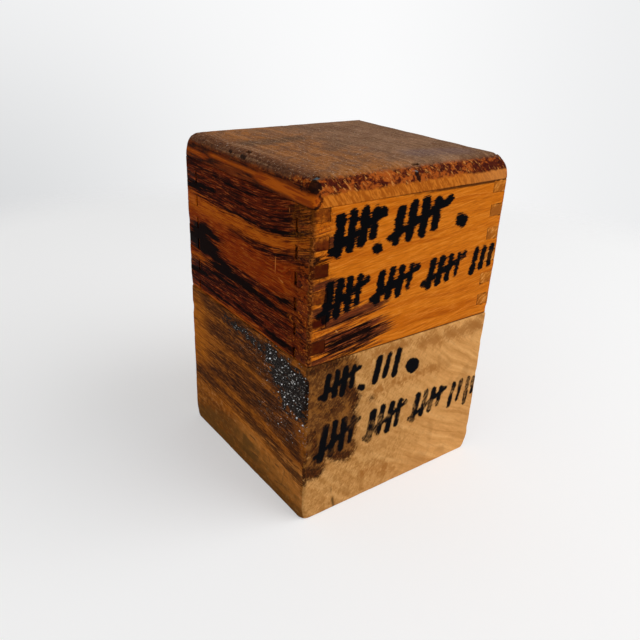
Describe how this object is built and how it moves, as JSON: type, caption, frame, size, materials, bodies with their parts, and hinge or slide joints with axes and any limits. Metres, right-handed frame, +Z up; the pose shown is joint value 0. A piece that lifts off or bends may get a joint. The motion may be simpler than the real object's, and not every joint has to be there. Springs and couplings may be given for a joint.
{
  "type": "antique wooden storage box",
  "caption": "Small upright wooden box: a solid block with a round bored well under a box-jointed lid that swings back on two butt hinges.",
  "frame": {"origin": "middle of the flat underside of the block", "axes": "+Z up, front face at -Y, hinges at +Y, left side at -X"},
  "size_m": [0.062, 0.0644, 0.0908],
  "materials": {
    "block_wood": "worn, oiled and stained",
    "wall_wood": "worn orange varnish",
    "board_wood": "grimy worn varnish",
    "hinge_brass": "aged and dull",
    "screw_brass": "aged and dull",
    "nail_steel": "rusted dark"
  },
  "bodies": {
    "base": {"base_block": "block_wood", "left_hinge_base_leaf": "hinge_brass", "left_hinge_pin": "hinge_brass", "left_hinge_base_screw_1": "screw_brass", "left_hinge_base_screw_2": "screw_brass", "right_hinge_base_leaf": "hinge_brass", "right_hinge_pin": "hinge_brass", "right_hinge_base_screw_1": "screw_brass", "right_hinge_base_screw_2": "screw_brass"},
    "lid": {"lid_front_wall": "wall_wood", "lid_back_wall": "wall_wood", "lid_left_wall": "wall_wood", "lid_right_wall": "wall_wood", "lid_top_board": "board_wood", "nail_front": "nail_steel", "nail_back": "nail_steel", "nail_left": "nail_steel", "nail_right": "nail_steel", "nail_front_left": "nail_steel", "nail_front_right": "nail_steel", "nail_back_left": "nail_steel", "nail_back_right": "nail_steel", "left_hinge_lid_leaf": "hinge_brass", "left_hinge_lid_screw_1": "screw_brass", "left_hinge_lid_screw_2": "screw_brass", "right_hinge_lid_leaf": "hinge_brass", "right_hinge_lid_screw_1": "screw_brass", "right_hinge_lid_screw_2": "screw_brass"}
  },
  "joints": [
    {"name": "lid_hinge", "type": "hinge", "parent": "base", "child": "lid", "pos_m": [0, 0.0322, 0.046], "axis": [-1, 0, 0], "range_deg": [0, 180]}
  ]
}
